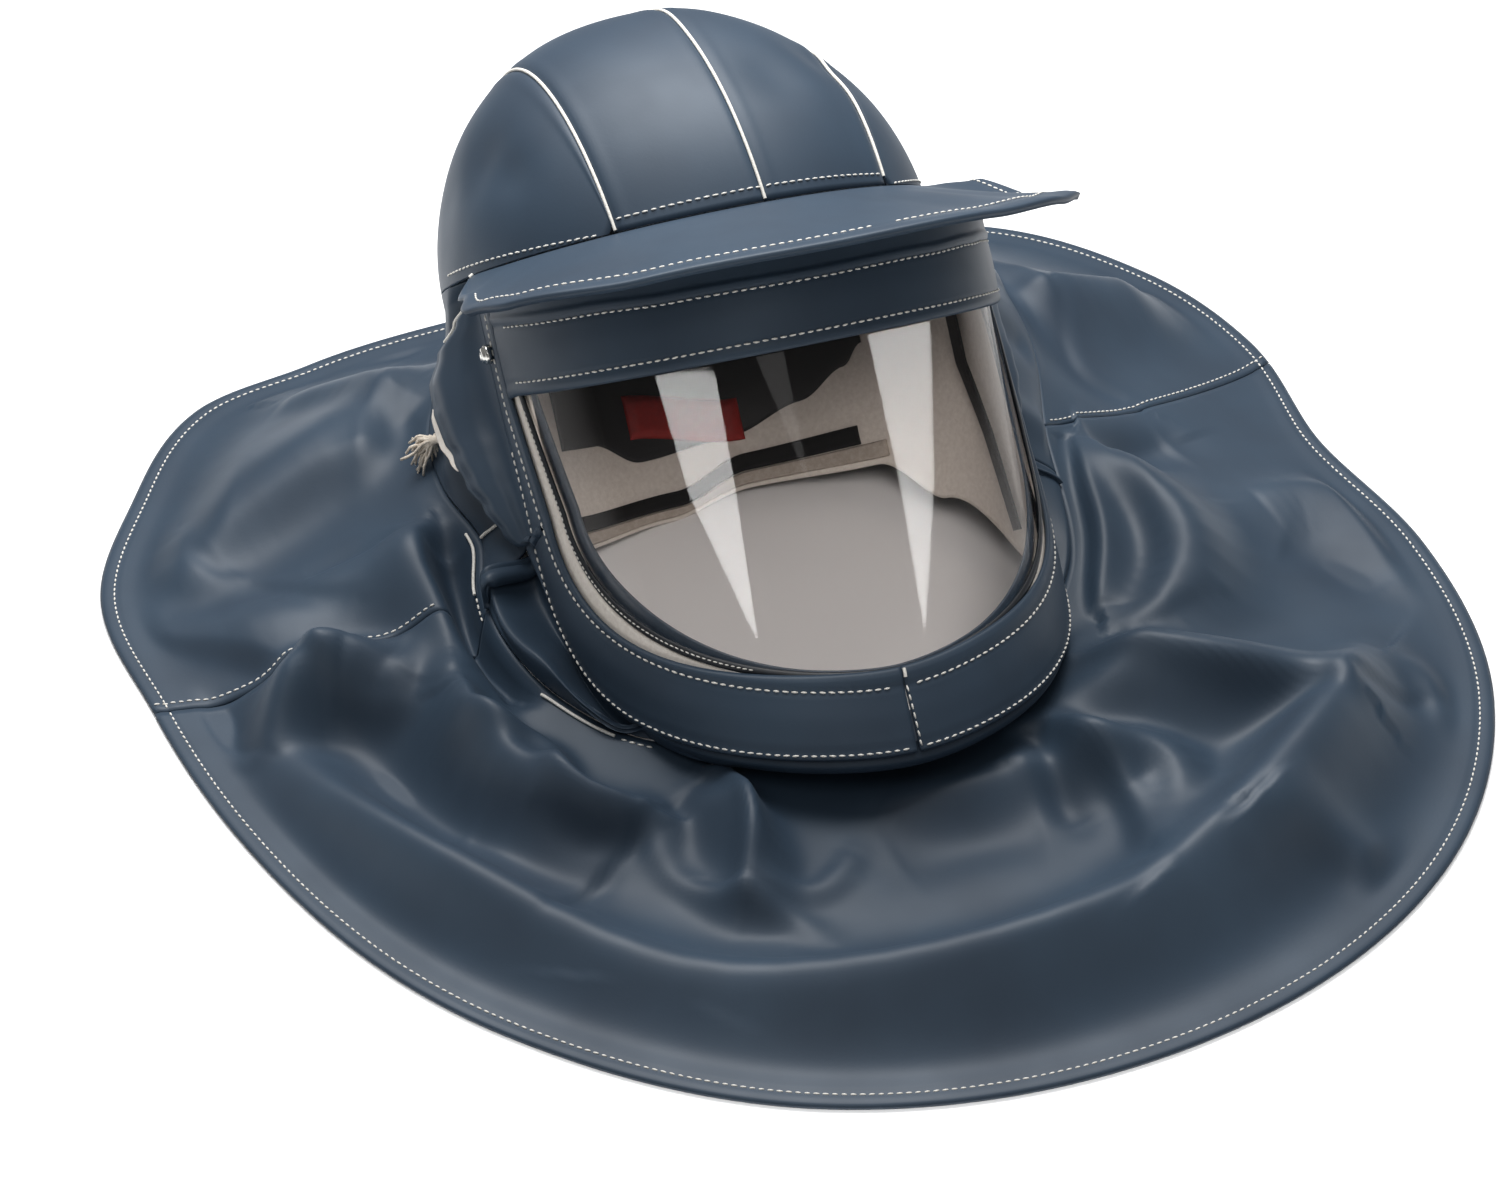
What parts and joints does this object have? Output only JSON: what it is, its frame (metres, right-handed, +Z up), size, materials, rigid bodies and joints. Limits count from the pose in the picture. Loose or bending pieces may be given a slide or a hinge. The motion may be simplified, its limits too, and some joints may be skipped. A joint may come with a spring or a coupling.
{
  "type": "sandblasting hood",
  "caption": "Rubber-coated cloth blasting hood with a domed crown, sun peak, curved clear window and a wide shoulder cape, lying on its cape.",
  "frame": {"origin": "middle of the cape's outline, on the surface that the hem lies on", "axes": "+Z up from the surface; the face and window towards -Y; the wearer's right side towards -X"},
  "size_m": [0.65, 0.675, 0.2645],
  "materials": {
    "coated_cloth": "satin rubber coating on smooth cloth",
    "lining_cloth": "matt smooth cloth",
    "rubber": "satin",
    "clear_sheet": "clear polished plastic sheet",
    "snap_metal": "polished",
    "cotton": "twisted cotton",
    "webbing": "matt black tape",
    "red_pad": "matt foam",
    "sweatband_cloth": "matt padded cloth"
  },
  "bodies": {
    "root": {"crown_side_right": "coated_cloth", "crown_top_right": "coated_cloth", "crown_top_left": "coated_cloth", "crown_side_left": "coated_cloth", "hood_back": "coated_cloth", "peak": "coated_cloth", "brow_band": "coated_cloth", "frame_right": "coated_cloth", "frame_left": "coated_cloth", "window_gasket": "rubber", "window": "clear_sheet", "lining_rim": "lining_cloth", "side_flap_right": "coated_cloth", "side_flap_left": "coated_cloth", "snap_right": "snap_metal", "snap_left": "snap_metal", "neck_skirt": "coated_cloth", "cape_front": "coated_cloth", "cape_back": "coated_cloth", "cord_end": "cotton", "lining": "lining_cloth", "harness_band": "webbing", "harness_pad": "red_pad", "back_strap": "webbing", "sweatband": "sweatband_cloth", "inner_strap": "webbing"}
  },
  "joints": []
}
